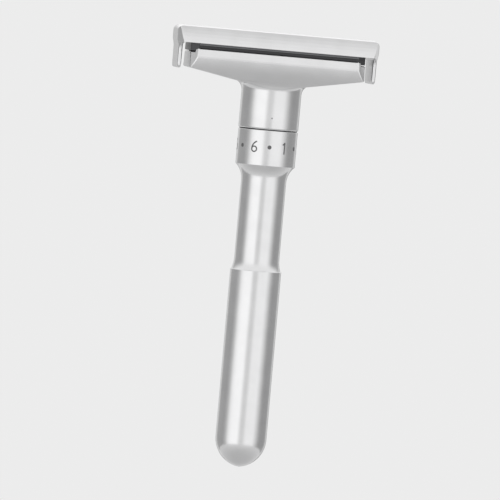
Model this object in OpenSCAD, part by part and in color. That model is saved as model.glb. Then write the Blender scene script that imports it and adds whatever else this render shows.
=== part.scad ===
// Adjustable double-edge safety razor. The origin is the tip of the domed end, +Z runs up the handle,
// and the dial is read from the front, -Y. Turning the handle raises or lowers the blade table on its screw.

/* [Handle] */
// Diameter of the grip
grip_d = 12; // [11.4:0.1:13]
// Length of the grip, from the tip of its dome to its top edge
grip_len = 46.4; // [38:0.1:60]
// Height of the domed end
dome_h = 6.8; // [6.6:0.1:10]
// Diameter of the upper handle
tube_d = 10.6; // [10:0.1:11]
// Straight length of the upper handle
tube_len = 18.2; // [12:0.1:30]
// Height of the flare above the grip
flare_h = 2.7; // [2:0.1:4]
// Step in radius between the grip and the foot of the flare
flare_step = 0.06; // [0.02:0.01:0.15]
// Height of the hollow taper under the collar
taper_h = 3.7; // [3:0.1:5]
// Diameter of the stem's tenon in the grip
tenon_d = 8; // [6:0.1:9]
// Length of the stem's tenon in the grip
tenon_len = 9; // [6:0.1:14]

/* [Dial] */
// Diameter of the dial collar
collar_d = 14; // [13.6:0.1:15]
// Height of the dial collar
collar_h = 8.4; // [8:0.1:11]
// Turn of the dial between its two stops, in degrees
dial_turn = 330; // [290:1:335]
// Height of the numbers
mark_h = 2.8; // [2.2:0.1:3.2]
// Stroke of the numbers
mark_stroke = 0.32; // [0.2:0.01:0.45]
// Diameter of the dots between the numbers
dot_d = 0.95; // [0.5:0.05:1.4]
// Depth of the filled marks
mark_depth = 0.15; // [0.1:0.01:0.25]
// Height of the middle of the marks above the collar's lower edge
mark_rise = 4.5; // [3.5:0.1:5]
// Diameter of the index mark on the neck
index_d = 0.4; // [0.3:0.05:1]
// Height of the index mark above the neck's lower edge
index_rise = 2.6; // [1:0.1:6]

/* [Adjuster] */
// Pitch of the spindle's thread
thread_pitch = 0.75; // [0.4:0.05:0.75]
// Diameter of the spindle
spindle_d = 6; // [5.4:0.1:6.4]
// Length of the spindle below the nut
spindle_tail = 6.5; // [2:0.1:8]
// Wall of the upper handle around the nut
tube_wall = 0.9; // [0.7:0.05:1.2]
// Length of the nut's body below its flange
nut_len = 7.5; // [5:0.1:9]
// Thickness of the nut's flange
flange_t = 1.2; // [0.8:0.1:1.6]
// Wall of the collar around its bearing pocket
collar_wall = 1; // [0.8:0.05:1.1]
// Thickness of the pocket's floor above the taper
pocket_floor = 1; // [0.6:0.1:1.5]
// Thickness of the bush between the collar and the neck's spigot
bush_t = 0.4; // [0.3:0.05:0.5]
// Wall of the neck's spigot
spigot_wall = 1; // [0.8:0.05:1.2]
// Height of the stop under the spigot
stop_h = 1; // [0.8:0.05:1.2]
// Height of the split between the collar and the neck
split_gap = 0.3; // [0.2:0.02:0.5]
// Wire diameter of the head spring
spring_wire = 0.7; // [0.5:0.05:0.8]
// Thickness of the spring's thrust washer
spring_washer_t = 0.4; // [0.3:0.05:0.6]

/* [Guard head] */
// Step in radius from the collar to the neck
neck_step = 0.05; // [0:0.01:0.3]
// Length of the neck, up to the underside of the guard
neck_len = 10.45; // [9.8:0.05:14]
// Radius of the fillet between the neck and the guard
neck_fillet = 2.6; // [2:0.1:2.8]
// Thickness of the web that guides the spindle
web_t = 2.6; // [1.5:0.1:3]
// Depth of the centre of the front fillet below the underside of the guard
fillet_drop = 1.56; // [1:0.02:2]
// How far each end of the guard's body lies inside the end of the blade
base_inset = 0.95; // [0.5:0.05:1.2]
// Height of the guard's body above the neck
base_h = 6.15; // [5.6:0.05:7]
// Rise of the guard's underside towards its ends, in degrees
under_slope = 10.5; // [4:0.1:11]
// How far the crease of each safety bar lies inside the blade's edge
bar_inset = 0.2; // [0.1:0.05:0.4]
// Height of the safety bars above the table's well
bar_h = 0.9; // [0.7:0.05:1.4]
// Thickness of the safety bars at their tops
bar_t = 0.9; // [0.7:0.05:1]
// Depth of the bars' creases below the table's well
crease_drop = 1.1; // [0.5:0.05:1.3]
// How far the tops of the bars lie back from their creases
bar_back = 0.36; // [0.2:0.02:0.5]
// Depth of the slanting cut at each corner of the guard
corner_cut = 2.6; // [2:0.1:4]
// Lean of the corner facets from upright, in degrees
corner_lean = 11; // [0:1:15]

/* [Blade and table] */
// Length of the blade
blade_len = 42.9; // [42:0.1:43.4]
// Width of the blade
blade_w = 22; // [21.6:0.1:22.2]
// Thickness of the blade
blade_t = 0.1; // [0.08:0.01:0.15]
// Length of the blade's end tabs, past the cutting edges
tab_len = 2.75; // [2.4:0.05:3.2]
// Width of the blade's end tabs
tab_w = 13; // [10:0.1:15]
// Width of the blade's slot
slot_w = 3; // [2:0.1:3.6]
// Steel left between the blade's slot and its ends
slot_end = 4.95; // [3.5:0.05:7]
// Radius that the table bends the blade to
bend_r = 32; // [30:0.5:44]
// Clear space between the table and each safety bar
well_clear = 0.34; // [0.2:0.02:0.6]
// Thickness of the table at its crown
table_t = 3.33; // [3.2:0.05:3.8]
// Height of the table above the floor of its well, with the dial at its closed end
table_gap = 0.2; // [0.1:0.05:0.4]
// Distance between the two studs
stud_pitch = 22; // [20:0.1:24]
// Diameter of the studs
stud_d = 4; // [3.6:0.1:4.2]
// Diameter of the table's guide bosses
boss_d = 6; // [5.8:0.1:6.6]
// Length of the table's guide bosses
boss_len = 2.2; // [2:0.05:2.4]
// Wire diameter of the catch rings
ring_wire = 0.5; // [0.4:0.05:0.6]
// Head diameter of the table screw
screw_head_d = 4.8; // [4.2:0.1:5.2]
// Shank diameter of the table screw
screw_d = 2.5; // [2:0.1:3]
// Length of the table screw
screw_len = 8; // [6:0.1:12]
// Width across the spindle's square key
key_w = 3.6; // [3.4:0.1:4]
// Height of the spindle's square key
key_h = 1.2; // [0.8:0.05:1.3]

/* [Cap] */
// Width of blade that shows past each lip of the cap
edge_show = 0.9; // [0.6:0.05:1.2]
// How far each shoulder of the cap lies back from its lip
cap_slant = 2.5; // [1.8:0.05:3.4]
// Thickness of the cap at its crown
cap_t = 2.5; // [2:0.05:3]
// Rise of the cap's crown above its shoulders
cap_crown = 0.3; // [0.1:0.05:0.4]
// How far the cap's lips run past the ends of the cutting edges
lip_over = 3.65; // [2:0.05:4]
// Depth of the slanting cut at each corner of the cap
cap_cut = 3.9; // [2:0.1:5]
// Whole height of the cap, down to the feet of its legs
cap_h = 10.25; // [9:0.05:10.8]
// Clear space between the blade and each leg
leg_gap = 0.95; // [0.6:0.05:1.2]
// How far the cap's ends bulge past its legs
cap_over = 0.5; // [0.4:0.05:1.6]
// Thickness of the legs
leg_t = 0.9; // [0.7:0.05:1.2]
// Width of the legs
leg_w = 15; // [12:0.1:15.4]
// Radius of the fillets between the legs and the cap
leg_fillet = 1.8; // [1:0.1:2.4]
// Radius of the cap's upper end corners
cap_corner = 1.3; // [0.6:0.1:1.6]
// Radius between the inner face of each leg and the lip
leg_root = 0.6; // [0.3:0.05:0.8]

/* [Hidden] */
$fn = 96;
// Segments of the large rounds that thin pieces are cut from
fine_fn = 360;
// Fine edge on turned pieces
edge = 0.12;
// Radial clearance of parts that turn or slide on each other
run_clear = 0.05;
// Clearance of parts that are pressed or screwed together
press_clear = 0.01;
// Clearance under and over the clamped blade
blade_clear = 0.03;
cap_clear = 0.05;
// Clearance between flat faces that turn or bear on each other
face_clear = 0.02;
// Angle left free between the stop pin and the stop
stop_clear = 0.6;
// Clear height under the stop, and over the stop pin
stop_gap = 0.3;
// Depth of the table screw's head under the table's crown
screw_sink = 0.25;
// Depth of the studs' seats in the cap
stud_seat = 1;
// Angle that the front fillet turns through before it meets the guard's face
fillet_turn = 48;
// Angle at which the face of a safety bar runs into its round top
bar_lean = 15;
// Gap in the catch rings, in degrees
ring_gap = 50;
// How far a cutting shape runs past the face that it cuts
over = 1;
// Number of settings on the dial
settings = 6;
// Segments in a short arc and in a long one
short_arc = 6;
long_arc = 14;

// Sizes across the dial and the neck
nut_d = tube_d - 2 * tube_wall;
pocket_d = collar_d - 2 * collar_wall;
spigot_d = pocket_d - 2 * bush_t;
neck_d = collar_d + 2 * neck_step;
pin_d = spigot_wall;

// Sizes of the head, which follow the blade
edge_len = blade_len - 2 * tab_len;
slot_len = blade_len - 2 * slot_end;
base_len = blade_len - 2 * base_inset;
bar_len = edge_len;
guard_w = blade_w - 2 * bar_inset;
table_len = base_len;
table_w = guard_w - 2 * (bar_back + bar_t + well_clear);
leg_span = blade_len + 2 * leg_gap;
cap_len = leg_span + 2 * (leg_t + cap_over);
lip_len = edge_len + 2 * lip_over;
cap_w = blade_w - 2 * edge_show;
cap_top_w = cap_w - 2 * cap_slant;

// Radii
grip_r = grip_d / 2;
tube_r = tube_d / 2;
collar_r = collar_d / 2;
neck_r = neck_d / 2;
spindle_r = spindle_d / 2;
spigot_r = spigot_d / 2;
bore_r = spigot_r - spigot_wall;
stud_r = stud_d / 2;
boss_r = boss_d / 2;
ring_r = stud_r;
ring_groove_r = ring_r - ring_wire / 2 - run_clear;
ring_room_r = ring_r + ring_wire + run_clear;

// Levels of the handle, from the tip of the dome upwards
z_grip = grip_len;
z_flare = z_grip + flare_h;
z_tube = z_flare + tube_len;
z_collar = z_tube + taper_h;
z_split = z_collar + collar_h;
z_mark = z_collar + mark_rise;
z_pocket = z_collar + pocket_floor;
z_flange = z_pocket + flange_t;
z_nut = z_pocket - nut_len;
z_spindle = z_nut - spindle_tail;

// Levels of the head
z_neck = z_split + split_gap;
z_under = z_neck + neck_len;
z_floor = z_under + base_h;
z_bar = z_floor + bar_h;
z_crease = z_floor - crease_drop;
z_table = z_floor + table_gap;
z_crown = z_table + table_t;
z_bend = z_crown - bend_r;
z_stop = z_flange + stop_gap;
z_spigot = z_stop + stop_h;
z_web = z_under - neck_fillet / 4 - web_t / 2;
z_web_top = z_web + web_t;
z_washer = z_table - spring_washer_t;
spring_r = spindle_r + (bore_r - spindle_r) / 2 + run_clear;
spring_turns = 3;

// Levels of the table screw
head_cone_h = (screw_head_d - screw_d) / 2;
z_head = z_crown - screw_sink;
z_screw = z_head - screw_len;

// Levels of the cap and its studs
cap_bend_r = bend_r + blade_clear + blade_t + cap_clear;
z_ceiling = z_bend + cap_bend_r;
z_cap = z_ceiling + cap_t;
z_lip = z_bend + sqrt(cap_bend_r * cap_bend_r - cap_w * cap_w / 4) - cap_clear;
z_leg = z_cap - cap_h;
z_shoulder = z_cap - cap_crown;
z_boss = z_table - boss_len;
z_ring = z_boss + boss_len / 2;
z_stud = z_boss + run_clear;

// Points along an arc about c
function arc(c, r, a0, a1, n) =
    [for (i = [0:n]) let (a = a0 + (a1 - a0) * i / n) c + r * [cos(a), sin(a)]];

function backwards(p) = [for (i = [len(p) - 1:-1:0]) p[i]];

// An outline from its right half, listed from its foot to its top
function both_sides(p) = concat(p, [for (q = backwards(p)) [-q[0], q[1]]]);

// Radius of an arc that starts straight and runs out sideways by run over a length of rise
function runout_r(rise, run) = (rise * rise + run * run) / (2 * run);

// Rectangle with its four corners cut off: half sizes and the two legs of the cut
function cut_rectangle(x, y, cut_x, cut_y) =
    [for (s = [[1, 1], [-1, 1], [-1, -1], [1, -1]])
        let (a = [s[0] * x, s[1] * (y - cut_y)], b = [s[0] * (x - cut_x), s[1] * y])
        each s[0] * s[1] > 0 ? [a, b] : [b, a]];

// Outline of a pen stroke of width w along the points p
function stroke(p, w) =
    let (
        last = len(p) - 1,
        side = [for (i = [0:last])
            let (d = p[min(i + 1, last)] - p[max(i - 1, 0)])
            [-d[1], d[0]] * w / 2 / norm(d)]
    )
    concat([for (i = [0:last]) p[i] + side[i]], [for (i = [last:-1:0]) p[i] - side[i]]);

// Strokes of the numbers 1 to 6 in a box that runs from -1 to 1 in height
pen_strokes = [
    [[[-0.32, 0.58], [0.1, 1]], [[0.1, 1.1], [0.1, -1.12]]],
    [
        concat(arc([0, 0.52], 0.48, 165, -38, long_arc), [[-0.45, -0.98]]),
        [[-0.56, -1], [0.54, -1]]
    ],
    [arc([0, 0.52], 0.46, 150, -92, long_arc), arc([0, -0.5], 0.5, 92, -150, long_arc)],
    [[[0.2, 1], [-0.55, -0.45]], [[-0.66, -0.45], [0.58, -0.45]], [[0.22, 1.1], [0.22, -1.12]]],
    [[[-0.5, 1], [0.44, 1]], [[-0.39, 1], [-0.44, 0.02]], arc([-0.02, -0.42], 0.56, 138, -140, long_arc)],
    [
        arc([1, -0.45], 1.5, 182, 110, long_arc),
        arc([0, -0.5], 0.5, -5, 185, long_arc),
        arc([0, -0.5], 0.5, 175, 365, long_arc)
    ]
];

module along_x(length) {
    rotate([90, 0, 90]) linear_extrude(length, center = true) children();
}

module along_y(length) {
    rotate([90, 0, 0]) linear_extrude(length, center = true) children();
}

module along_z(z0, z1) {
    translate([0, 0, z0]) linear_extrude(z1 - z0) children();
}

// Round bar along Z from z0 to z1
module rod(r, z0, z1) {
    translate([0, 0, z0]) cylinder(h = z1 - z0, r = r);
}

module tube(r_out, r_in, z0, z1) {
    difference() {
        rod(r_out, z0, z1);
        rod(r_in, z0 - over, z1 + over);
    }
}

// Cylinder across the razor that bends the blade, out to radius r
module bend_cylinder(r, length) {
    translate([0, 0, z_bend]) rotate([0, 90, 0]) cylinder(h = length, r = r, center = true, $fn = fine_fn);
}

module number_shape(n) {
    k = (mark_h - mark_stroke) / 2;
    for (p = pen_strokes[n - 1]) polygon(stroke(p * k, mark_stroke));
}

// A mark that is sunk into the front of a round piece of radius r at height z
module sunk_mark(r, z) {
    rotate([90, 0, 0]) translate([0, z, r - mark_depth]) linear_extrude(mark_depth + over) children();
}

module numbers_cut() {
    for (n = [1:settings]) rotate((n - 0.5) * 360 / settings) sunk_mark(collar_r, z_mark) number_shape(n);
}

module dots_cut() {
    for (n = [1:settings]) rotate((n - 1) * 360 / settings) sunk_mark(collar_r, z_mark) circle(d = dot_d);
}

module index_cut() {
    sunk_mark(neck_r, z_neck + index_rise) circle(d = index_d);
}

// Handle

module grip() {
    dome_r = runout_r(dome_h, grip_r);
    dome_a = asin(min(1, dome_h / dome_r));
    outline = concat(
        [[0, 0]],
        [for (p = arc([grip_r - dome_r, dome_h], dome_r, -dome_a, 0, long_arc)) if (p[0] > edge) p],
        [[grip_r, z_grip - edge], [grip_r - edge, z_grip], [0, z_grip]]
    );
    color("silver") difference() {
        rotate_extrude() polygon(outline);
        rod(tenon_d / 2 + press_clear, z_grip - tenon_len - press_clear, z_grip + over);
    }
}

module handle_stem() {
    flare_run = grip_r - flare_step - edge - tube_r;
    flare_r = runout_r(flare_h, flare_run);
    taper_run = collar_r - edge - tube_r;
    taper_r = runout_r(taper_h, taper_run);
    outline = concat(
        [[0, z_grip - tenon_len], [tenon_d / 2, z_grip - tenon_len], [tenon_d / 2, z_grip]],
        arc([tube_r + flare_r, z_flare], flare_r, 180 + asin(flare_h / flare_r), 180, long_arc),
        arc([tube_r + taper_r, z_tube], taper_r, 180, 180 - asin(taper_h / taper_r), long_arc),
        [[collar_r, z_collar + edge], [collar_r, z_split - edge], [collar_r - edge, z_split], [0, z_split]]
    );
    color("silver") difference() {
        rotate_extrude() polygon(outline);
        rod(pocket_d / 2, z_pocket, z_split + over);
        rod(nut_d / 2 + press_clear, z_nut, z_pocket + over);
        rod(spindle_r + 4 * run_clear, z_spindle - over, z_nut + over);
        numbers_cut();
        dots_cut();
    }
}

module dial_numerals() {
    color("dimgray") intersection() {
        numbers_cut();
        rod(collar_r, z_collar, z_split, $fn = fine_fn);
    }
}

module dial_dots() {
    color("dimgray") intersection() {
        dots_cut();
        rod(collar_r, z_collar, z_split, $fn = fine_fn);
    }
}

// Parts inside the dial

module drive_nut() {
    color("goldenrod") difference() {
        union() {
            rod(nut_d / 2, z_nut, z_pocket + over / 2);
            rod(pocket_d / 2 - press_clear, z_pocket, z_flange);
        }
        rod(spindle_r + run_clear, z_nut - over, z_flange + over);
        stop_pin_shape(press_clear, z_pocket - over, z_flange + over);
    }
}

// The pin rests against the stop at the back of the neck and turns away from it as the dial opens
pin_path_r = (spigot_r + bore_r) / 2;
pin_half_a = asin(pin_d / 2 / pin_path_r);
stop_a = 360 - dial_turn - 2 * (pin_half_a + stop_clear);

module stop_pin_shape(grow, z0, z1) {
    rotate(90 - stop_a / 2 - pin_half_a - stop_clear)
        translate([pin_path_r, 0, 0]) rod(pin_d / 2 + grow, z0, z1);
}

module stop_pin() {
    color("gray") stop_pin_shape(0, z_pocket, z_spigot - stop_gap);
}

module neck_bush() {
    color("goldenrod") tube(pocket_d / 2 - press_clear, spigot_r + run_clear, z_flange, z_split - edge);
}

module friction_washer() {
    color("black") tube(collar_r - 2 * edge, spigot_r + 3 * run_clear, z_split, z_neck - face_clear);
}

// Guard head

module guard_head() {
    color("silver") difference() {
        intersection() {
            along_x(base_len + 2 * over) polygon(guard_outline());
            union() {
                along_y(guard_w + 2 * over) polygon(under_outline());
                neck();
                neck_stop();
            }
        }
        corner_cuts();
        rod(bore_r, z_stop - over, z_web);
        rod(spindle_r + run_clear, z_web - over, z_web_top + over);
        rod(bore_r, z_web_top, z_bar + over);
        for (s = [-1, 1])
            translate([s * stud_pitch / 2, 0, 0])
                rod(boss_r + run_clear, z_boss - 4 * run_clear, z_bar + over);
        index_cut();
    }
}

// Section of the guard: neck side, fillet, bulging face, crease, safety bar and the table's well
function guard_outline() =
    let (
        wall_y = neck_r + run_clear,
        foot = [wall_y + neck_fillet, z_under - fillet_drop],
        low = foot + neck_fillet * [-cos(fillet_turn), sin(fillet_turn)],
        crease = [guard_w / 2, z_crease],
        chord = crease - low,
        lean = atan(chord[0] / chord[1]),
        half = fillet_turn - lean,
        face_r = norm(chord) / 2 / sin(half),
        face_mid = (low + crease) / 2 - face_r * cos(half) * [cos(lean), -sin(lean)],
        bar_mid = [guard_w / 2 - bar_back - bar_t / 2, z_bar - bar_t / 2]
    )
    both_sides(concat(
        [[wall_y, z_stop - over]],
        arc(foot, neck_fillet, 180, 180 - fillet_turn, short_arc),
        arc(face_mid, face_r, -lean - half, -lean + half, short_arc),
        arc(bar_mid, bar_t / 2, bar_lean, 180, short_arc),
        [[bar_mid[0] - bar_t / 2, z_floor]]
    ));

// Front outline of the guard: its underside rises from the neck to both ends
function under_outline() =
    let (x = base_len / 2, slope = tan(under_slope))
    [[0, z_under - neck_r * slope], [x, z_under + (x - neck_r) * slope], [x, z_bar + over],
        [-x, z_bar + over], [-x, z_under + (x - neck_r) * slope]];

// What the leaning facets take off the guard's four corners, which ends the bars at their own length
module corner_cuts() {
    for (x = [0, 1], y = [0, 1]) mirror([x, 0, 0]) mirror([0, y, 0])
        translate([bar_len / 2, guard_w / 2, z_floor])
            rotate(atan2((base_len - bar_len) / 2, corner_cut)) rotate([0, -corner_lean, 0])
                translate([0, -2 * corner_cut, -2 * base_h]) cube([2 * corner_cut, 4 * corner_cut, 4 * base_h]);
}

// Spigot, neck and the round flare that blends the neck into the underside
module neck() {
    flare_mid = [neck_r + neck_fillet, z_under - neck_fillet * (1 - tan(under_slope)) + edge];
    rotate_extrude() polygon(concat(
        [[0, z_spigot], [spigot_r, z_spigot], [spigot_r, z_neck], [neck_r - edge, z_neck], [neck_r, z_neck + edge]],
        arc(flare_mid, neck_fillet, 180, 90 + under_slope, short_arc + 2),
        [[0, flare_mid[1] + neck_fillet]]
    ));
}

// Stop under the spigot that the stop pin meets at both ends of its turn
module neck_stop() {
    rotate(90 - stop_a / 2) rotate_extrude(angle = stop_a)
        translate([bore_r + edge, z_stop]) square([spigot_wall - 2 * edge, stop_h + edge]);
}

module index_mark() {
    color("dimgray") intersection() {
        index_cut();
        rod(neck_r, z_neck, z_under, $fn = fine_fn);
    }
}

// Lifting parts

module head_spring() {
    color("gray") coil(spring_r, spring_wire, z_web_top + face_clear, z_washer - face_clear, spring_turns);
}

// Round-wire spring between two levels
module coil(r, wire, z0, z1, turns) {
    sides = 6;
    per_turn = 12;
    steps = turns * per_turn;
    climb = (z1 - z0 - wire) / steps;
    points = [for (i = [0:steps]) for (j = [0:sides - 1])
        let (a = 360 * i / per_turn, b = 360 * j / sides, out = r + wire / 2 * cos(b))
        [out * cos(a), out * sin(a), z0 + wire / 2 + climb * i + wire / 2 * sin(b)]];
    walls = [for (i = [0:steps - 1]) for (j = [0:sides - 1])
        let (a = i * sides + j, b = i * sides + (j + 1) % sides)
        each [[a, a + sides, b], [b, a + sides, b + sides]]];
    ends = [for (j = [1:sides - 2])
        each [[0, j, j + 1], [steps * sides, steps * sides + j + 1, steps * sides + j]]];
    polyhedron(points, concat(walls, ends));
}

module spring_washer() {
    color("gray") tube(bore_r - 4 * run_clear, spindle_r + 2 * run_clear, z_washer, z_table);
}

module spindle() {
    z_key = z_table + key_h;
    color("gray") difference() {
        union() {
            rod(spindle_r, z_spindle, z_table);
            translate([-key_w / 2, -key_w / 2, z_table - over]) cube([key_w, key_w, key_h + over]);
        }
        rod(screw_d / 2 + press_clear, z_screw - over, z_key + over);
    }
}

module screw_shape(grow, top) {
    rod(screw_d / 2 + grow, z_screw, z_head - head_cone_h + over / 2);
    translate([0, 0, z_head - head_cone_h])
        cylinder(h = head_cone_h, r1 = screw_d / 2 + grow, r2 = screw_head_d / 2 + grow);
    if (top > 0) rod(screw_head_d / 2 + grow, z_head - press_clear, z_head + top);
}

module table_screw() {
    driver_w = screw_head_d / 8;
    driver_depth = head_cone_h / 2.2;
    color("gray") difference() {
        screw_shape(0, 0);
        translate([-screw_head_d, -driver_w / 2, z_head - driver_depth])
            cube([2 * screw_head_d, driver_w, driver_depth + over]);
    }
}

module blade_table() {
    table_cut = corner_cut - (guard_w - table_w) / 2;
    color("silver") difference() {
        union() {
            intersection() {
                along_z(z_table, z_crown + over)
                    polygon(cut_rectangle(table_len / 2, table_w / 2, (table_len - edge_len) / 2, table_cut));
                bend_cylinder(bend_r, table_len + 2 * over);
            }
            for (s = [-1, 1]) translate([s * stud_pitch / 2, 0, 0]) rod(boss_r, z_boss, z_table + over);
        }
        for (s = [-1, 1]) translate([s * stud_pitch / 2, 0, 0]) {
            rod(stud_r + run_clear, z_boss - over, z_crown + over);
            rod(ring_room_r, z_ring - ring_wire / 2 - run_clear, z_ring + ring_wire / 2 + run_clear);
        }
        translate([-key_w / 2 - press_clear, -key_w / 2 - press_clear, z_table - over])
            cube([key_w + 2 * press_clear, key_w + 2 * press_clear, key_h + over + press_clear]);
        screw_shape(2 * press_clear, over);
    }
}

module catch_ring(side) {
    color("gray") translate([side * stud_pitch / 2, 0, z_ring])
        rotate(ring_gap / 2) rotate_extrude(angle = 360 - ring_gap) translate([ring_r, 0]) circle(d = ring_wire);
}

module catch_ring_left() {
    catch_ring(-1);
}

module catch_ring_right() {
    catch_ring(1);
}

module blade() {
    hole_r = stud_r + 6 * run_clear;
    color("lightgray") intersection() {
        difference() {
            bend_cylinder(bend_r + blade_clear + blade_t, blade_len + 2 * over);
            bend_cylinder(bend_r + blade_clear, blade_len + 4 * over);
        }
        along_z(z_table, z_crown + over) difference() {
            union() {
                square([edge_len, blade_w], center = true);
                square([blade_len, tab_w], center = true);
            }
            square([slot_len, slot_w], center = true);
            circle(r = screw_head_d / 2 + 6 * run_clear);
            for (s = [-1, 1]) translate([s * stud_pitch / 2, 0]) circle(r = hole_r);
        }
    }
}

// Cap

module cap_stud(side) {
    tip = 3 * edge;
    color("silver") translate([side * stud_pitch / 2, 0, 0]) rotate_extrude() polygon([
        [0, z_stud], [stud_r - tip, z_stud], [stud_r, z_stud + tip],
        [stud_r, z_ring - ring_wire / 2 - run_clear], [ring_groove_r, z_ring - ring_wire / 2 - run_clear],
        [ring_groove_r, z_ring + ring_wire / 2 + run_clear], [stud_r, z_ring + ring_wire / 2 + run_clear],
        [stud_r, z_ceiling + stud_seat], [0, z_ceiling + stud_seat]
    ]);
}

module cap_stud_left() {
    cap_stud(-1);
}

module cap_stud_right() {
    cap_stud(1);
}

module cap() {
    color("silver") difference() {
        intersection() {
            along_y(cap_w + 2 * over) polygon(cap_front());
            along_x(cap_len + 2 * over) polygon(cap_section());
            along_z(z_leg - over, z_cap + over)
                polygon(cut_rectangle(cap_len / 2, cap_w / 2, (cap_len - lip_len) / 2, cap_cut));
        }
        bend_cylinder(cap_bend_r, leg_span - 2 * leg_root);
        for (s = [-1, 1])
            translate([s * stud_pitch / 2, 0, 0])
                rod(stud_r + press_clear, z_leg, z_ceiling + stud_seat + press_clear);
    }
}

// Front outline of the cap: round upper corners, then a smooth step in to each leg
function cap_front() =
    let (
        leg_in = leg_span / 2,
        leg_out = leg_in + leg_t,
        end_x = cap_len / 2,
        z_waist = (z_cap - cap_corner + z_lip) / 2,
        z_knee = z_lip - cap_corner,
        ease = [for (i = [0:short_arc]) let (t = i / short_arc)
            [leg_out + (end_x - leg_out) * (1 - cos(180 * t)) / 2, z_knee + (z_waist - z_knee) * t]]
    )
    concat(
        both_sides(concat(
            [[leg_out, z_leg]],
            ease,
            arc([end_x - cap_corner, z_cap - cap_corner], cap_corner, 0, 90, short_arc)
        )),
        [[-leg_in, z_leg]],
        arc([leg_root - leg_in, z_lip - edge - leg_root], leg_root, 180, 90, short_arc),
        arc([leg_in - leg_root, z_lip - edge - leg_root], leg_root, 90, 0, short_arc),
        [[leg_in, z_leg]]
    );

// Section of the cap: legs with round feet, fillets, lips, steep faces and a low crown
function cap_section() =
    let (
        foot_r = leg_fillet / 2,
        leg_y = leg_w / 2,
        top_y = cap_top_w / 2,
        crown_r = runout_r(top_y, cap_crown),
        crown_a = asin(top_y / crown_r)
    )
    both_sides(concat(
        arc([leg_y - foot_r, z_leg + foot_r], foot_r, -90, 0, short_arc),
        arc([leg_y + leg_fillet, z_lip - leg_fillet], leg_fillet, 180, 90, short_arc),
        [[cap_w / 2, z_lip]],
        arc([0, z_cap - crown_r], crown_r, 90 - crown_a, 88, short_arc)
    ));

cap();
cap_stud_left();
cap_stud_right();
blade();
blade_table();
catch_ring_left();
catch_ring_right();
table_screw();
spindle();
spring_washer();
head_spring();
guard_head();
index_mark();
friction_washer();
neck_bush();
drive_nut();
stop_pin();
handle_stem();
grip();
dial_numerals();
dial_dots();
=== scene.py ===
"""Looks of the adjustable double-edge safety razor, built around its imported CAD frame."""

import math

import bmesh
import bpy
from bpy.props import FloatProperty, FloatVectorProperty, IntProperty, PointerProperty
from mathutils import Matrix, Vector


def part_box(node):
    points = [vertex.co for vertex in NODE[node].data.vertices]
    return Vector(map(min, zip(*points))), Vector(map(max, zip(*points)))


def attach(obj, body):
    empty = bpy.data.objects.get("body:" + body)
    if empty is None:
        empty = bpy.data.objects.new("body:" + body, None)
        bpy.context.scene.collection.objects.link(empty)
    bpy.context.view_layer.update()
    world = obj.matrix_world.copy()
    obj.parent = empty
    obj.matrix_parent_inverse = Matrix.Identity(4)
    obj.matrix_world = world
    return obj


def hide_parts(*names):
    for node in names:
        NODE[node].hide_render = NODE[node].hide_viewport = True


bl_info = {
    "name": "Safety Razor",
    "version": (1, 0, 0),
    "blender": (4, 5, 0),
    "location": "View3D > Sidebar > Razor",
    "description": "Dresses the safety razor with turned, ground and plated surfaces and sets its studio",
    "category": "Object",
}

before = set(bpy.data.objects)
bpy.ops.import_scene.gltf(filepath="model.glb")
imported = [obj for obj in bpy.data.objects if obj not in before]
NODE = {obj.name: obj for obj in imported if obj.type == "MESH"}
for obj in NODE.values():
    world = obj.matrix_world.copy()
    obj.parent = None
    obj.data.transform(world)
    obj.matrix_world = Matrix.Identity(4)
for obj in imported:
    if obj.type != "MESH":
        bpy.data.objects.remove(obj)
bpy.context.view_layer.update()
MM = 0.001


def top_of(node):
    """Height of a CAD node's upper end, in metres."""
    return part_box(node)[1].z


def radius_of(node):
    """Largest half width of a CAD node across X, in metres."""
    low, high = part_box(node)
    return (high.x - low.x) / 2


# Sizes and finishes

def length(name, description, default):
    return FloatProperty(name=name, description=description, default=default, min=0, precision=5,
                         subtype="DISTANCE", unit="LENGTH")


def tint(name, description, default):
    return FloatVectorProperty(name=name, description=description, default=default, min=0, max=1, size=3,
                               subtype="COLOR")


def share(name, description, default):
    return FloatProperty(name=name, description=description, default=default, min=0, max=2, precision=3,
                         subtype="FACTOR")


def turn(name, description, degrees):
    return FloatProperty(name=name, description=description, default=math.radians(degrees), subtype="ANGLE",
                         unit="ROTATION")


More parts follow.
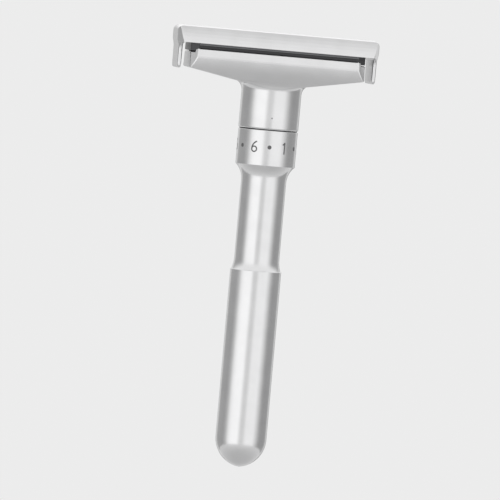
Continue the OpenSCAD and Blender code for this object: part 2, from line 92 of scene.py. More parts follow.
class RazorShape(bpy.types.PropertyGroup):
    """Sizes of the turned handle, of the cap and of the eased edges."""
    dome_height: length("Dome", "Height of the domed end of the grip", 6.8 * MM)
    tube_radius: length("Upper handle", "Radius of the upper handle", 5.3 * MM)
    flare_height: length("Flare", "Height of the flare above the grip", 2.7 * MM)
    flare_step: length("Seam step", "Step in radius between the grip and the foot of the flare", 0.06 * MM)
    taper_height: length("Taper", "Height of the hollow taper under the collar", 3.7 * MM)
    collar_height: length("Collar", "Height of the dial collar", 8.4 * MM)
    turned_edge: length("Turned edges", "Radius of the eased edges of turned pieces", 0.14 * MM)
    cap_edge: length("Cap edges", "Radius of the eased edges of the cap", 0.32 * MM)
    lip_edge: length("Lip edges", "Radius of the eased edges of the cap's lips", 0.06 * MM)
    guard_edge: length("Guard edges", "Radius of the eased edges of the guard head", 0.24 * MM)
    table_edge: length("Table edges", "Radius of the eased edges of the blade table", 0.1 * MM)
    cap_top: length("Cap top", "Half the width of the cap's top", 7.6 * MM)
    cap_crown: length("Cap crown", "Rise of the cap's top in the middle", 0.3 * MM)
    cap_bulge: length("Cap bulge", "How far the cap's steep faces bulge", 0.1 * MM)
    cap_thickness: length("Cap thickness", "Thickness of the cap over the blade", 2.5 * MM)
    cap_corner: length("Cap corners", "Radius of the cap's upper end corners", 1.3 * MM)
    cap_cut: length("Cap cut", "Depth of the slanting cut at the cap's corners", 3.9 * MM)
    lip_reach: length("Lip reach", "Half the length of the cap's lips", 22.35 * MM)
    lip_height: length("Lip height", "Height of the lips above the feet of the legs", 6.074 * MM)
    bay_bend: length("Bay bend", "Radius of the hollow that bends the blade", 32.18 * MM)
    leg_inner: length("Leg inside", "Distance of the legs' inner faces from the middle", 22.4 * MM)
    leg_thickness: length("Leg thickness", "Thickness of the legs", 0.9 * MM)
    leg_half: length("Leg width", "Half the width of the legs", 7.5 * MM)
    leg_fillet: length("Leg fillet", "Radius of the fillets in front of and behind the legs", 1.8 * MM)
    leg_root: length("Leg root", "Radius between the legs' inner faces and the lips", 0.6 * MM)
    leg_edge: length("Leg edges", "Radius of the eased edges of the legs", 0.38 * MM)
    # The ground zone is wide enough to cover all of the blade seen at rest, so its dark colour also serves as
    # painted shade there.
    ground_width: length("Ground edge", "Width of the ground bevel along the blade's cutting edges", 1.0 * MM)
    mark_stand: length("Mark stand", "How far the filled marks stand proud of the collar", 0.018 * MM)
    round_steps: IntProperty(name="Round steps", description="Segments round a turned piece", default=160,
                             min=24)


class RazorFinish(bpy.types.PropertyGroup):
    """Colours and finishes of the razor's materials."""
    chrome: tint("Chrome", "Colour of the satin chrome plate", (0.79, 0.79, 0.795))
    chrome_rough: share("Chrome roughness", "Roughness of the satin chrome plate", 0.2)
    steel: tint("Steel", "Colour of the turned steel parts", (0.56, 0.56, 0.57))
    # Blade and ground-edge colours: partly the steel's own tone, partly painted shade of the dark slot
    # between cap and guard.
    blade: tint("Blade", "Colour of the blade's flat faces", (0.3, 0.305, 0.315))
    ground: tint("Ground edge", "Colour of the blade's ground edges", (0.21, 0.212, 0.217))
    brass: tint("Brass", "Colour of the brass nut and bush", (0.7, 0.52, 0.22))
    plastic: tint("Washer", "Colour of the friction washer", (0.02, 0.02, 0.021))
    mark: tint("Marks", "Colour of the filled marks", (0.12, 0.12, 0.123))
    index: tint("Index", "Colour of the index mark above the dial", (0.3, 0.3, 0.305))
    # The table's dark colour is painted shade of the dark slot under the cap, not the plate's own colour.
    table: tint("Table", "Colour of the burnished table under the blade", (0.075, 0.075, 0.078))
    grain: share("Grain", "Depth of the fine grain in the plate", 0.05)


class RazorStage(bpy.types.PropertyGroup):
    """Camera, light and floor of the studio."""
    azimuth: turn("Azimuth", "Direction of the camera round the razor", -5.5)
    elevation: turn("Elevation", "Height of the camera above the horizon", 2.1)
    roll: turn("Roll", "Lean of the razor in the picture", 5.05)
    distance: length("Distance", "Distance from the camera to the razor", 1.6)
    view_width: length("View width", "Width of the picture at the razor", 0.1175)
    tip_right: length("Tip sideways", "How far the picture's middle lies right of the grip's tip", 2.73 * MM)
    tip_up: length("Tip upwards", "How far the picture's middle lies above the grip's tip", 50.9 * MM)
    floor_drop: length("Floor", "Depth of the floor below the grip's tip", 0.35)
    floor_radius: length("Floor radius", "Radius of the round floor", 0.8)
    floor_tint: tint("Floor colour", "Colour of the floor", (0.8, 0.8, 0.8))
    backdrop: tint("Backdrop", "Colour of the backdrop that the camera sees", (0.84, 0.84, 0.84))
    light: share("Light", "Level of the studio light", 1.0)


# Node trees

class Wire:
    """A socket in a node tree. Arithmetic on it adds Math nodes, and add() adds any other node."""

    def __init__(self, tree, socket=None):
        self.tree = tree
        self.socket = socket

    def add(self, kind, settings=None, inputs=None, output=0):
        node = self.tree.nodes.new(kind)
        for name, value in (settings or {}).items():
            if name == "stops":
                self._set_stops(node.color_ramp, value)
            else:
                setattr(node, name, value)
        for key, value in (inputs or {}).items():
            if isinstance(value, Wire):
                self.tree.links.new(value.socket, node.inputs[key])
            else:
                node.inputs[key].default_value = value
        return Wire(self.tree, node.outputs[output])

    @staticmethod
    def _set_stops(ramp, stops):
        while len(ramp.elements) < len(stops):
            ramp.elements.new(1.0)
        for element, (place, level) in zip(ramp.elements, stops):
            element.position = place
            element.color = (level, level, level, 1.0)

    def math(self, operation, *values):
        return self.add("ShaderNodeMath", {"operation": operation}, dict(enumerate(values)))

    def vector(self, operation, *values, output=0):
        return self.add("ShaderNodeVectorMath", {"operation": operation}, dict(enumerate(values)), output)

    def blend(self, factor, first, second):
        """Colour that goes from first to second as factor goes from 0 to 1."""
        colours = [c if isinstance(c, Wire) else (*c, 1.0) for c in (first, second)]
        return self.add("ShaderNodeMix", {"data_type": "RGBA"}, {0: factor, 6: colours[0], 7: colours[1]}, 2)

    def __add__(self, other):
        return self.math("ADD", self, other)

    def __radd__(self, other):
        return self.math("ADD", other, self)

    def __sub__(self, other):
        return self.math("SUBTRACT", self, other)

    def __rsub__(self, other):
        return self.math("SUBTRACT", other, self)

    def __mul__(self, other):
        return self.math("MULTIPLY", self, other)

    def __rmul__(self, other):
        return self.math("MULTIPLY", other, self)

    def __truediv__(self, other):
        return self.math("DIVIDE", self, other)

    def __abs__(self):
        return self.math("ABSOLUTE", self)

    def above(self, low, high):
        """Smooth step from 0 at low to 1 at high."""
        return self.add("ShaderNodeMapRange", {"interpolation_type": "SMOOTHSTEP"},
                        {0: self, 1: low, 2: high})


def new_surface(name, fixed):
    """A material with a fresh Principled shader, whose fixed sockets are set on the shader itself."""
    material = bpy.data.materials.new(name)
    material.use_nodes = True
    tree = material.node_tree
    tree.nodes.clear()
    shader = tree.nodes.new("ShaderNodeBsdfPrincipled")
    for socket, value in fixed.items():
        shader.inputs[socket].default_value = value
    output = tree.nodes.new("ShaderNodeOutputMaterial")
    tree.links.new(shader.outputs[0], output.inputs["Surface"])
    return material, Wire(tree), shader


def feed(shader, socket, wire):
    wire.tree.links.new(wire.socket, shader.inputs[socket])


def place_in_razor(wire):
    """Place on the razor, in metres in its own frame."""
    return wire.add("ShaderNodeTexCoord", output=3)


def noise(wire, place, scale, stretch=(1, 1, 1), detail=2.0):
    """Noise about 0.5 with scale waves a metre, drawn out by the three factors of stretch."""
    drawn = wire.vector("MULTIPLY", place, tuple(scale * s for s in stretch))
    return wire.add("ShaderNodeTexNoise", {}, {"Vector": drawn, "Scale": 1.0, "Detail": detail})


def shaded(colour, factor):
    return tuple(min(1.0, c * factor) for c in colour)


# Textures of the surfaces, in waves a metre, and how they are drawn out
PLATE_GRAIN, PLATE_CLOUDS, PLATE_LINES = 9000, 260, 5200
TOOL_RINGS, METAL_CLOUDS = 4000, 500
BRUSHED_LINES, HONED_LINES = 6000, 7000
ENAMEL_MOTTLE, FLOOR_MOTTLE = 6000, 6
ROUND_THE_HANDLE, ROUND_A_PART = (0.02, 0.02, 1), (0.03, 0.03, 1)
ALONG_THE_PLATE, ALONG_THE_BLADE, ACROSS_THE_BLADE = (0.04, 1, 1), (0.02, 1, 1), (1, 0.05, 1)
GRAIN_DEPTH, FINE_DEPTH = 0.02 * MM, 0.01 * MM


def satin_chrome(name, finish, rings):
    """Satin chrome plate: fine grain, faint clouds in the gloss, and on turned pieces the tool's rings."""
    material, wire, shader = new_surface(name, {"Metallic": 1.0})
    place = place_in_razor(wire)
    grain = noise(wire, place, PLATE_GRAIN, detail=3.0)
    clouds = noise(wire, place, PLATE_CLOUDS, detail=2.0)
    lines = noise(wire, place, PLATE_LINES, ROUND_THE_HANDLE if rings else ALONG_THE_PLATE, 2.0)
    depth = grain * 0.6 + lines * (0.4 if rings else 0.25)
    feed(shader, "Base Color", wire.blend(clouds.above(0.25, 0.75), shaded(finish.chrome, 0.975),
                                          shaded(finish.chrome, 1.02)))
    feed(shader, "Roughness", finish.chrome_rough - 0.05 + clouds * 0.06 + lines * 0.04)
    bump = wire.add("ShaderNodeBump", {}, {"Strength": finish.grain, "Distance": GRAIN_DEPTH,
                                           "Height": depth})
    feed(shader, "Normal", bump)
    return material


def turned_metal(name, colour, rough):
    """Bright turned metal with close tool rings."""
    material, wire, shader = new_surface(name, {"Metallic": 1.0})
    place = place_in_razor(wire)
    rings = noise(wire, place, TOOL_RINGS, ROUND_A_PART, 3.0)
    clouds = noise(wire, place, METAL_CLOUDS)
    feed(shader, "Base Color", wire.blend(rings.above(0.3, 0.7), shaded(colour, 0.9), shaded(colour, 1.06)))
    feed(shader, "Roughness", rough - 0.05 + rings * 0.06 + clouds * 0.06)
    bump = wire.add("ShaderNodeBump", {}, {"Strength": 0.12, "Distance": GRAIN_DEPTH, "Height": rings})
    feed(shader, "Normal", bump)
    return material


def ground_blade(name, finish, edge_y, ground_width):
    """Blade steel: brushed flat faces and finely honed bevels along both cutting edges, their dark colours
    partly the steel's own and partly painted shade of the slot between cap and guard.
    """
    material, wire, shader = new_surface(name, {"Metallic": 1.0, "Specular Tint": (0.5, 0.5, 0.51, 1.0)})
    place = place_in_razor(wire)
    across = wire.add("ShaderNodeSeparateXYZ", {}, {0: place}, 1)
    ground = abs(across).above(edge_y - ground_width * 1.04, edge_y - ground_width * 0.96)
    brushed = noise(wire, place, BRUSHED_LINES, ALONG_THE_BLADE, 3.0)
    honed = noise(wire, place, HONED_LINES, ACROSS_THE_BLADE, 2.0)
    flat_tint = wire.blend(brushed.above(0.3, 0.7), shaded(finish.blade, 0.92), shaded(finish.blade, 1.06))
    feed(shader, "Base Color", wire.blend(ground, flat_tint, finish.ground))
    feed(shader, "Roughness", 0.24 + brushed * 0.08 - ground * 0.1 + honed * ground * 0.06)
    bump = wire.add("ShaderNodeBump", {}, {"Strength": 0.1, "Distance": FINE_DEPTH,
                                           "Height": brushed * (1 - ground) + honed * ground})
    feed(shader, "Normal", bump)
    return material


def matte_fill(name, colour, rough):
    """Enamel or moulded plastic with a faint mottle."""
    material, wire, shader = new_surface(name, {"Metallic": 0.0})
    mottle = noise(wire, place_in_razor(wire), ENAMEL_MOTTLE, detail=3.0)
    feed(shader, "Base Color", wire.blend(mottle.above(0.3, 0.7), shaded(colour, 0.8), shaded(colour, 1.2)))
    feed(shader, "Roughness", rough - 0.06 + mottle * 0.12)
    bump = wire.add("ShaderNodeBump", {}, {"Strength": 0.1, "Distance": FINE_DEPTH, "Height": mottle})
    feed(shader, "Normal", bump)
    return material


def finish_named(name):
    """The razor's material of that name, made once."""
    found = bpy.data.materials.get(name)
    if found:
        return found
    scene = bpy.context.scene
    finish, ground_width = scene.razor_finish, scene.razor_shape.ground_width
    makers = {
        "turned_chrome": lambda: satin_chrome(name, finish, True),
        "plated_chrome": lambda: satin_chrome(name, finish, False),
        "turned_steel": lambda: turned_metal(name, finish.steel, 0.28),
        "turned_brass": lambda: turned_metal(name, finish.brass, 0.3),
        "honed_blade": lambda: ground_blade(name, finish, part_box("blade")[1].y, ground_width),
        "washer_plastic": lambda: matte_fill(name, finish.plastic, 0.5),
        "mark_enamel": lambda: matte_fill(name, finish.mark, 0.45),
        "index_enamel": lambda: matte_fill(name, finish.index, 0.45),
        # Painted shade: the table gets a near-black steel so that it reads as the dark slot under the cap.
        "painted_shade_steel": lambda: turned_metal(name, finish.table, 0.3),
    }
    return makers[name]()


def coat(piece, material_name):
    """Gives a piece its one material."""
    material = finish_named(material_name)
    piece.data.materials.clear()
    piece.data.materials.append(material)
    for face in piece.data.polygons:
        face.material_index = 0


# Meshes

TURNED_SHARP, LOFTED_SHARP, EASED_SHARP = 40, 38, 32   # degrees above which an edge is shaded sharp
LOFT_JOIN, COPY_JOIN = 0.002 * MM, 0.004 * MM          # points nearer than this are one
FLAT_WITHIN = 0.35                                     # degrees within which CAD facets are one face
STUB, LONG_ENOUGH = 0.3, 0.8                           # edges to drop and to round, in parts of the radius
EASE_SHARE = 0.45                                      # most that a round takes of the line beside it


def arc(middle, radius, start, end, steps):
    """Points along an arc in a turning profile, angles in degrees."""
    return [(middle[0] + radius * math.cos(math.radians(start + (end - start) * i / steps)),
             middle[1] + radius * math.sin(math.radians(start + (end - start) * i / steps)))
            for i in range(steps + 1)]


def runout_radius(rise, run):
    """Radius of an arc that starts straight and runs out sideways by run over a length of rise."""
    return (rise * rise + run * run) / (2 * run)


def eased(profile, radius, limit=25, steps=4):
    """A profile with each corner sharper than limit degrees rounded to the radius."""
    made = [profile[0]]
    for before, here, after in zip(profile, profile[1:], profile[2:]):
        a, b, c = Vector(before), Vector(here), Vector(after)
        bend = (b - a).angle(c - b)
        if math.degrees(bend) < limit:
            made.append(here)
            continue
        reach = min(radius * math.tan(bend / 2), (b - a).length * EASE_SHARE, (c - b).length * EASE_SHARE)
        start, end = b + (a - b).normalized() * reach, b + (c - b).normalized() * reach
        for i in range(steps + 1):
            t = i / steps
            made.append(tuple(start * (1 - t) ** 2 + b * 2 * t * (1 - t) + end * t ** 2))
    return made + [profile[-1]]


def turned_mesh(name, profile, steps):
    """A turned solid from its half profile of (radius, height), which starts and ends on the axis."""
    shape = bmesh.new()
    rings = []
    for radius, height in profile:
        if radius < 1e-9:
            rings.append([shape.verts.new((0, 0, height))])
        else:
            rings.append([shape.verts.new((radius * math.sin(2 * math.pi * i / steps),
                                           -radius * math.cos(2 * math.pi * i / steps), height))
                          for i in range(steps)])
    for low, high in zip(rings, rings[1:]):
        for i in range(steps):
            j = (i + 1) % steps
            corners = [low[i % len(low)], low[j % len(low)], high[j % len(high)], high[i % len(high)]]
            shape.faces.new(list(dict.fromkeys(corners)))
    bmesh.ops.recalc_face_normals(shape, faces=shape.faces)
    return to_piece(name, shape, TURNED_SHARP)


def to_piece(name, shape, sharp_degrees):
    """A smooth-shaded object from a bmesh, with the edges sharper than an angle kept sharp."""
    for face in shape.faces:
        face.smooth = True
    for edge in shape.edges:
        edge.smooth = len(edge.link_faces) == 2 and edge.calc_face_angle(0) < math.radians(sharp_degrees)
    mesh = bpy.data.meshes.new(name)
    shape.to_mesh(mesh)
    shape.free()
    piece = bpy.data.objects.new(name, mesh)
    bpy.context.scene.collection.objects.link(piece)
    return piece


def quarter(radius, steps):
    """Pairs of (run, rise left) along a quarter round: the whole rise is left at no run, none at the end."""
    turns = [math.pi / 2 * i / steps for i in range(steps + 1)]
    return [(radius * (1 - math.cos(a)), radius * (1 - math.sin(a))) for a in turns]


class CapForm:
    """Sections of the cap across the blade, one at each station from the middle out to an end."""
    UNDER_STEPS = 5           # steps in each fillet of a leg
    LIP_TIP = 0.997           # share of the half width at which the hollow meets the lip
    LIP_LAND = 0.3 * MM       # least width of the lip's underside
    FACE_STEPS = 4            # steps across half the crown and down a steep face
    END_STEPS = 10            # steps from a leg to the end

    def __init__(self, size):
        low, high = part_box("cap")
        self.size = size
        self.end, self.half = high.x, high.y
        self.foot, self.top = low.z, high.z
        self.lip = low.z + size.lip_height
        self.bend_middle = high.z - size.cap_thickness - size.bay_bend
        self.leg_outer = size.leg_inner + size.leg_thickness

    def bay_height(self, y):
        return self.bend_middle + math.sqrt(self.size.bay_bend ** 2 - y * y)

    def under(self, floor, shrink):
        """Half outline below the lip: fillet, leg front, foot and sole, cut off at a floor."""
        size, n = self.size, self.UNDER_STEPS
        foot_radius = size.leg_fillet / 2
        front, sole = size.leg_half - shrink, self.foot + shrink
        line = [(front + size.leg_fillet, self.lip)]
        line += arc((front + size.leg_fillet, self.lip - size.leg_fillet), size.leg_fillet, 90, 180, n)
        line += arc((front - foot_radius, sole + foot_radius), foot_radius, 0, -90, n)
        line += [(front / 2, sole), (0.0, sole)]
        return [(y, max(z, floor)) for y, z in line]

    def section(self, x, floor=None, leg_shrink=0.0, shrink=0.0):
        """Whole closed section at x. Without a floor it is hollow under the lips."""
        size = self.size
        past = x - (self.end - size.cap_corner)
        drop = size.cap_corner - math.sqrt(size.cap_corner ** 2 - past ** 2) if past > 0 else 0.0
        cut = max(0.0, x - size.lip_reach) / (self.end - size.lip_reach) * size.cap_cut
        brow = self.top - size.cap_crown
        high = brow - max(drop, shrink)
        low = max(self.lip, floor or 0.0) + shrink
        widest = self.half - cut - shrink

        def face(z):
            across = (z - self.lip) / (brow - self.lip)
            bulge = 4 * size.cap_bulge * across * (1 - across)
            return self.half + (size.cap_top - self.half) * across + bulge - shrink

        room = size.cap_edge * 2
        bend = self.lip + (cut / (self.half - size.cap_top)) * (brow - self.lip)
        bend = min(max(bend, low + room), max(high - room, low + room))
        edge_y = min(face(high), widest)
        lip_y = min(face(low), widest)
        n = self.FACE_STEPS
        crown = [(edge_y * k / n, high + size.cap_crown * (1 - (k / n) ** 2)) for k in range(n)]
        if floor is None:
            lip_y, low = self.half * self.LIP_TIP, self.bay_height(self.half * self.LIP_TIP)
            count = 2 * self.UNDER_STEPS + 5  # as many points as under() gives
            inwards = [lip_y * (1 - k / count) for k in range(1, count + 1)]
            under = [(y, self.bay_height(y)) for y in inwards]
        else:
            raised = shrink if floor > self.lip else 0.0
            under = [(min(y, lip_y - self.LIP_LAND), z + (raised if z >= floor else 0.0))
                     for y, z in self.under(floor, leg_shrink)]
        levels = [high + (bend - high) * k / n for k in range(n + 1)]
        front = [(min(face(z), widest), z) for z in levels]
        upper = eased(crown + front + [(lip_y, low)], size.cap_edge, -1)
        half = upper[:-1] + eased([upper[-2], upper[-1], under[0]], size.lip_edge, -1)[1:-1] + under
        return [(x, y, z) for y, z in half] + [(x, -y, z) for y, z in half[-2:0:-1]]

    def stations(self):
        """Sections from the middle to the end on the right."""
        size, inner, outer = self.size, self.size.leg_inner, self.leg_outer
        root = inner - size.leg_root
        made = [self.section(x * root / 4) for x in range(5)]
        made += [self.section(inner - size.leg_root + size.leg_root * math.sin(a),
                              self.lip - size.leg_root * (1 - math.cos(a)))
                 for a in (math.pi / 12 * i for i in range(7))]
        rounds = quarter(size.leg_edge, 4)
        made += [self.section(inner + run, self.foot, left) for run, left in rounds]
        made.append(self.section((inner + outer) / 2, self.foot))
        made += [self.section(outer - run, self.foot, left) for run, left in reversed(rounds)]
        knee, waist = self.lip - size.cap_corner, (self.top - size.cap_corner + self.lip) / 2
        for i in range(self.END_STEPS + 1):
            t = i / self.END_STEPS
            x = outer + (self.end - outer) * (1 - math.cos(math.pi * t)) / 2
            near = max(0.0, x - (self.end - size.cap_edge))
            shrink = size.cap_edge - math.sqrt(size.cap_edge ** 2 - near ** 2)
            made.append(self.section(x, knee + (waist - knee) * t, 0.0, shrink))
        return made


def lofted(name, rings):
    """A closed solid through a row of rings with as many points each, merged where rings coincide."""
    shape = bmesh.new()
    rows = [[shape.verts.new(point) for point in ring] for ring in rings]
    for near, far in zip(rows, rows[1:]):
        for i in range(len(near)):
            j = (i + 1) % len(near)
            shape.faces.new((near[i], near[j], far[j], far[i]))
    shape.faces.new(rows[0])
    shape.faces.new(rows[-1])
    bmesh.ops.remove_doubles(shape, verts=shape.verts, dist=LOFT_JOIN)
    bmesh.ops.dissolve_degenerate(shape, edges=shape.edges, dist=LOFT_JOIN)
    bmesh.ops.recalc_face_normals(shape, faces=shape.faces)
    return flattened(to_piece(name, shape, LOFTED_SHARP))


def flattened(piece):
    """Weights a piece's normals by the size of its faces, so that flat faces stay flat beside eased edges."""
    weighted = piece.modifiers.new("Flat faces", "WEIGHTED_NORMAL")
    weighted.keep_sharp = True
    return piece


def outer_edges(shape, limit):
    """The edges of a bmesh that stand out, sharper than limit degrees."""
    return [e for e in shape.edges
            if len(e.link_faces) == 2 and e.is_convex and e.calc_face_angle(0) > math.radians(limit)]


def eased_copy(node, name, radius, plain_zone=None, limit=29, steps=3):
    """A copy of a CAD node in whole faces, with its outer edges rounded where they are long enough for it.

    Edges in the plain zone, a radius round the axis and two heights, stay as they are.
    """
    def roundable(edge):
        middle = (edge.verts[0].co + edge.verts[1].co) / 2
        plain = plain_zone and middle.xy.length < plain_zone[0] and plain_zone[1] < middle.z < plain_zone[2]
        return edge.calc_length() > radius * LONG_ENOUGH and not plain

    shape = bmesh.new()
    shape.from_mesh(NODE[node].data)
    bmesh.ops.remove_doubles(shape, verts=shape.verts, dist=COPY_JOIN)
    bmesh.ops.dissolve_limit(shape, angle_limit=math.radians(FLAT_WITHIN), verts=shape.verts,
                             edges=shape.edges, use_dissolve_boundaries=False)
    stubs = [e for e in outer_edges(shape, limit) if e.calc_length() < radius * STUB]
    bmesh.ops.collapse(shape, edges=stubs)
    bmesh.ops.bevel(shape, geom=[e for e in outer_edges(shape, limit) if roundable(e)], offset=radius,
                    offset_type="OFFSET", segments=steps, profile=0.5, affect="EDGES", clamp_overlap=False,
                    loop_slide=True, miter_outer="ARC", spread=radius / 2)
    return flattened(to_piece(name, shape, EASED_SHARP))


def seat(piece, body, material_name, slot, *nodes):
    """Puts a new piece on its body and in its finish, in place of the CAD nodes it stands for. The slot
    argument is not used.
    """
    coat(piece, material_name)
    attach(piece, body)
    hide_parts(*nodes)


# Operators

class RAZOR_OT_grip(bpy.types.Operator):
    """Turns the domed grip"""
    bl_idname = "razor.grip"
    bl_label = "Grip"

    SHOULDER = 1.9 * MM       # width of the upper face round the stem
    SOCKET_DEPTH = 3 * MM     # how deep the hollow in the upper face goes
    DOME_STEPS = 40           # steps along the dome's profile
    TIP = 0.05 * MM           # radius within which the dome's points are one

    def execute(self, context):
        size = context.scene.razor_shape
        radius, top = radius_of("grip"), top_of("grip")
        bend = runout_radius(size.dome_height, radius)
        swing = math.degrees(math.asin(min(1.0, size.dome_height / bend)))
        dome = arc((radius - bend, size.dome_height), bend, -swing, 0, self.DOME_STEPS)
        wall = [(0.0, 0.0)] + [p for p in dome if p[0] > self.TIP]
        hollow, bottom = radius - self.SHOULDER, top - self.SOCKET_DEPTH
        lip = eased([(radius, size.dome_height * 1.02), (radius, top), (hollow, top)], size.turned_edge)
        profile = wall + lip + [(hollow, bottom), (0.0, bottom)]
        piece = turned_mesh("grip_shell", profile, size.round_steps)
        seat(piece, "handle", "turned_chrome", "satin_chrome", "grip")
        return {"FINISHED"}


class RAZOR_OT_stem(bpy.types.Operator):
    """Turns the upper handle with its flare, taper and dial collar"""
    bl_idname = "razor.stem"
    bl_label = "Upper Handle and Dial"

    TENON_DEPTH, TENON_SHARE = 2 * MM, 0.7    # depth below the seam, and radius as a share of the tube's
    COLLAR_FLOOR = 1.2 * MM                   # thickness of the collar's floor under its bore
    FLARE_STEPS, TAPER_STEPS = 18, 20         # steps along their profiles
    COLLAR_CORNER = 15                        # degrees above which the collar's corners are eased

    def execute(self, context):
        size = context.scene.razor_shape
        foot, top = top_of("grip"), top_of("handle_stem")
        tube, edge = size.tube_radius, size.turned_edge
        collar = radius_of("handle_stem") - size.mark_stand
        flare_run = radius_of("grip") - size.flare_step - edge - tube
        flare_bend = runout_radius(size.flare_height, flare_run)
        flare_top = foot + size.flare_height
        collar_foot = top - size.collar_height
        taper_run = collar - edge - tube
        taper_bend = runout_radius(size.taper_height, taper_run)
        taper_foot = collar_foot - size.taper_height
        flare_swing = math.degrees(math.asin(size.flare_height / flare_bend))
        taper_swing = math.degrees(math.asin(size.taper_height / taper_bend))
        bore = radius_of("neck_bush")
        tenon, tenon_foot = tube * self.TENON_SHARE, foot - self.TENON_DEPTH
        bore_floor = collar_foot + self.COLLAR_FLOOR
        profile = [(0.0, tenon_foot), (tenon, tenon_foot), (tenon, foot)]
        profile += arc((tube + flare_bend, flare_top), flare_bend, 180 + flare_swing, 180, self.FLARE_STEPS)
        profile += arc((tube + taper_bend, taper_foot), taper_bend, 180, 180 - taper_swing, self.TAPER_STEPS)
        wall = [profile[-1], (collar, collar_foot + edge), (collar, top), (bore, top)]
        profile += eased(wall, edge, self.COLLAR_CORNER)[1:] + [(bore, bore_floor), (0.0, bore_floor)]
        piece = turned_mesh("stem_shell", profile, size.round_steps)
        seat(piece, "handle", "turned_chrome", "satin_chrome", "handle_stem")
        return {"FINISHED"}


class RAZOR_OT_marks(bpy.types.Operator):
    """Fills the dial's numbers and dots and the index mark"""
    bl_idname = "razor.marks"
    bl_label = "Marks"

    def execute(self, context):
        for node in ("dial_numerals", "dial_dots"):
            coat(NODE[node], "mark_enamel")
        coat(NODE["index_mark"], "index_enamel")
        return {"FINISHED"}


class RAZOR_OT_guard(bpy.types.Operator):
    """Plates the guard head and eases its edges"""
    bl_idname = "razor.guard"
    bl_label = "Guard Head"

    # Where the neck runs into the guard's underside: radius round the axis, lower and upper height
    NECK_JOINT = (7.6 * MM, 86 * MM, 92 * MM)

    def execute(self, context):
        piece = eased_copy("guard_head", "guard_shell", context.scene.razor_shape.guard_edge, self.NECK_JOINT)
        seat(piece, "head", "plated_chrome", "satin_chrome", "guard_head")
        return {"FINISHED"}


class RAZOR_OT_cap(bpy.types.Operator):
    """Plates the cap with eased edges and finishes its studs"""
    bl_idname = "razor.cap"
    bl_label = "Cap"

    def execute(self, context):
        right = CapForm(context.scene.razor_shape).stations()
        left = [[(-x, y, z) for x, y, z in ring] for ring in reversed(right[1:])]
        piece = lofted("cap_shell", left + right)
        seat(piece, "cap", "plated_chrome", "satin_chrome", "cap")
        for node in ("cap_stud_left", "cap_stud_right"):
            coat(NODE[node], "turned_steel")
        return {"FINISHED"}


class RAZOR_OT_blade(bpy.types.Operator):
    """Grinds the blade and paints the table that carries it dark, as painted shade of the slot under the cap
    """
    bl_idname = "razor.blade"
    bl_label = "Blade and Table"

    def execute(self, context):
        coat(NODE["blade"], "honed_blade")
        piece = eased_copy("blade_table", "table_shell", context.scene.razor_shape.table_edge)
        seat(piece, "table", "painted_shade_steel", "satin_chrome", "blade_table")
        for node in ("catch_ring_left", "catch_ring_right", "table_screw"):
            coat(NODE[node], "turned_steel")
        return {"FINISHED"}


class RAZOR_OT_works(bpy.types.Operator):
    """Finishes the adjuster's parts inside the head and the collar"""
    bl_idname = "razor.works"
    bl_label = "Adjuster"

    def execute(self, context):
        for node in ("spindle", "spring_washer", "head_spring", "stop_pin"):
            coat(NODE[node], "turned_steel")
        for node in ("drive_nut", "neck_bush"):
            coat(NODE[node], "turned_brass")
        coat(NODE["friction_washer"], "washer_plastic")
        return {"FINISHED"}


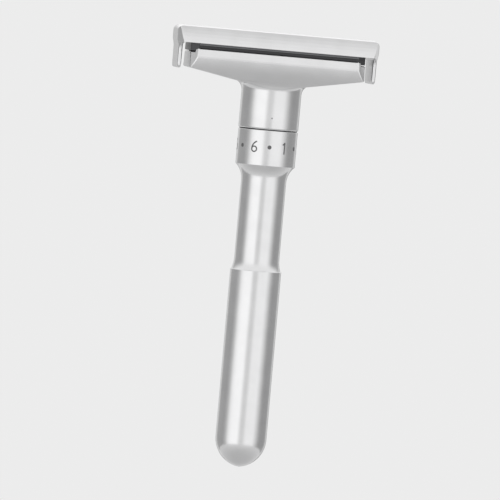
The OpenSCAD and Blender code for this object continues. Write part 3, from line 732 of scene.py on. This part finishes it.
class RAZOR_OT_stage(bpy.types.Operator):
    """Sets the floor, the light and the camera"""
    bl_idname = "razor.stage"
    bl_label = "Stage"

    # Level of the studio light by direction round the razor, in degrees from the camera
    LIGHT_ROUND = (
        (-180, 0.55), (-162, 0.55), (-152, 0.85), (-136, 0.42), (-92, 0.38), (-77, 0.53), (-61, 1.02),
        (-46, 1.15), (-18, 1.17), (-9, 0.84), (-3, 0.74), (3, 0.74), (9, 0.8), (17, 1.01), (54, 1.03),
        (69, 0.74), (84, 0.42), (96, 0.35), (136, 0.38), (152, 0.85), (162, 0.3), (180, 0.55),
    )
    # Light from above: its level, what is added straight behind and what is taken off straight overhead
    CEILING, BACK_GLOW, ZENITH_SHADE = 0.96, 0.24, 0.22
    # Where these begin and are full: the back by its cosine, the others by the sine of their height
    BACK, FRONT_CEILING, BACK_CEILING, ZENITH = (-0.95, -0.86), (0.12, 0.42), (0.02, 0.2), (0.885, 0.95)
    # Floor: level of the painted shade in its middle, where that fades, share of the backdrop seen in it, and
    # segments
    FLOOR_SHADE, FLOOR_FADE, FLOOR_GLOW, FLOOR_STEPS = 0.73, (0.1, 0.75), 0.8, 96
    SENSOR_WIDTH = 36.0  # millimetres

    def execute(self, context):
        stage = context.scene.razor_stage
        self.make_camera(context, stage)
        self.make_floor(stage)
        self.make_light(context, stage)
        context.scene.view_settings.view_transform = "Standard"
        return {"FINISHED"}

    def make_camera(self, context, stage):
        a, e = stage.azimuth, stage.elevation
        back = Vector((math.sin(a) * math.cos(e), -math.cos(a) * math.cos(e), math.sin(e)))
        pose = (-back).to_track_quat("-Z", "Y").to_matrix() @ Matrix.Rotation(stage.roll, 3, "Z")
        middle = pose @ Vector((stage.tip_right, stage.tip_up, 0))
        lens = bpy.data.cameras.new("camera")
        lens.sensor_width = self.SENSOR_WIDTH
        lens.lens = lens.sensor_width * stage.distance / stage.view_width
        lens.clip_start, lens.clip_end = 0.01, 50.0
        camera = bpy.data.objects.new("camera", lens)
        camera.matrix_world = Matrix.Translation(middle + back * stage.distance) @ pose.to_4x4()
        context.scene.collection.objects.link(camera)
        context.scene.camera = camera

    def make_floor(self, stage):
        shape = bmesh.new()
        bmesh.ops.create_circle(shape, cap_ends=True, segments=self.FLOOR_STEPS, radius=stage.floor_radius,
                                matrix=Matrix.Translation((0, 0, -stage.floor_drop)))
        floor = to_piece("floor", shape, 30)
        material, wire, shader = new_surface("floor_paint", {"Roughness": 0.9, "Specular IOR Level": 0.1})
        place = place_in_razor(wire)
        mottle = noise(wire, place, FLOOR_MOTTLE)
        reach = wire.vector("LENGTH", wire.vector("MULTIPLY", place, (1, 1, 0)), output=1)
        # Painted shade: the floor is darker in its middle, which the metal's downward faces reflect; the
        # mottle adds a faint random tone.
        shade_fade = reach.above(*self.FLOOR_FADE) + (mottle - 0.5) * 0.04
        painted_shade_tint = shaded(stage.floor_tint, self.FLOOR_SHADE)
        feed(shader, "Base Color", wire.blend(shade_fade, painted_shade_tint, stage.floor_tint))
        seen = wire.add("ShaderNodeLightPath", output="Is Camera Ray")
        glow = wire.add("ShaderNodeEmission", {}, {"Color": (*stage.backdrop, 1.0), "Strength": 1.0})
        rim = reach.above(stage.floor_radius * 0.5, stage.floor_radius * 0.97)
        cover = seen * (self.FLOOR_GLOW + rim * (1 - self.FLOOR_GLOW))
        paint = Wire(wire.tree, shader.outputs[0])
        mixed = wire.add("ShaderNodeMixShader", {}, {0: cover, 1: paint, 2: glow})
        out = wire.tree.nodes["Material Output"]
        wire.tree.links.new(mixed.socket, out.inputs["Surface"])
        floor.data.materials.append(material)

    def make_light(self, context, stage):
        world = bpy.data.worlds.new("studio")
        world.use_nodes = True
        world.node_tree.nodes.clear()
        context.scene.world = world
        wire = Wire(world.node_tree)
        way = wire.add("ShaderNodeTexCoord", output=0)
        a = stage.azimuth
        ahead = wire.vector("DOT_PRODUCT", way, (math.sin(a), -math.cos(a), 0), output=1)
        aside = wire.vector("DOT_PRODUCT", way, (math.cos(a), math.sin(a), 0), output=1)
        up = wire.add("ShaderNodeSeparateXYZ", {}, {0: way}, 2)
        place = wire.math("ARCTAN2", aside, ahead) / (2 * math.pi) + 0.5
        stops = [(angle / 360 + 0.5, level / 2) for angle, level in self.LIGHT_ROUND]
        level = 2 * wire.add("ShaderNodeValToRGB", {"stops": stops}, {0: place})
        behind = 1 - ahead.above(*self.BACK)
        overhead = (1 - behind) * up.above(*self.FRONT_CEILING) + behind * up.above(*self.BACK_CEILING)
        ceiling = self.CEILING + behind * self.BACK_GLOW - up.above(*self.ZENITH) * self.ZENITH_SHADE
        level = level * (1 - overhead) + ceiling * overhead
        seen = wire.add("ShaderNodeLightPath", output="Is Camera Ray")
        light = wire.add("ShaderNodeBackground", {}, {0: (1.0, 1.0, 1.0, 1.0), 1: level * stage.light})
        backdrop = wire.add("ShaderNodeBackground", {}, {0: (*stage.backdrop, 1.0), 1: 1.0})
        mixed = wire.add("ShaderNodeMixShader", {}, {0: seen, 1: light, 2: backdrop})
        output = wire.tree.nodes.new("ShaderNodeOutputWorld")
        wire.tree.links.new(mixed.socket, output.inputs["Surface"])


OPERATORS = (
    RAZOR_OT_grip, RAZOR_OT_stem, RAZOR_OT_marks, RAZOR_OT_guard, RAZOR_OT_cap, RAZOR_OT_blade,
    RAZOR_OT_works, RAZOR_OT_stage,
)


class RAZOR_PT_panel(bpy.types.Panel):
    """Lists the razor's pieces and its stage"""
    bl_idname = "RAZOR_PT_panel"
    bl_label = "Safety Razor"
    bl_space_type = "VIEW_3D"
    bl_region_type = "UI"
    bl_category = "Razor"

    def draw(self, context):
        for operator in OPERATORS:
            self.layout.operator(operator.bl_idname)
        for group in (context.scene.razor_shape, context.scene.razor_finish, context.scene.razor_stage):
            box = self.layout.box()
            for name in type(group).__annotations__:
                box.prop(group, name)


CLASSES = (RazorShape, RazorFinish, RazorStage, *OPERATORS, RAZOR_PT_panel)


def register():
    for cls in CLASSES:
        bpy.utils.register_class(cls)
    bpy.types.Scene.razor_shape = PointerProperty(type=RazorShape)
    bpy.types.Scene.razor_finish = PointerProperty(type=RazorFinish)
    bpy.types.Scene.razor_stage = PointerProperty(type=RazorStage)


def unregister():
    del bpy.types.Scene.razor_shape, bpy.types.Scene.razor_finish, bpy.types.Scene.razor_stage
    for cls in reversed(CLASSES):
        bpy.utils.unregister_class(cls)


def main():
    register()
    for operator in OPERATORS:
        group, name = operator.bl_idname.split(".")
        getattr(getattr(bpy.ops, group), name)()


if __name__ == "__main__":
    main()
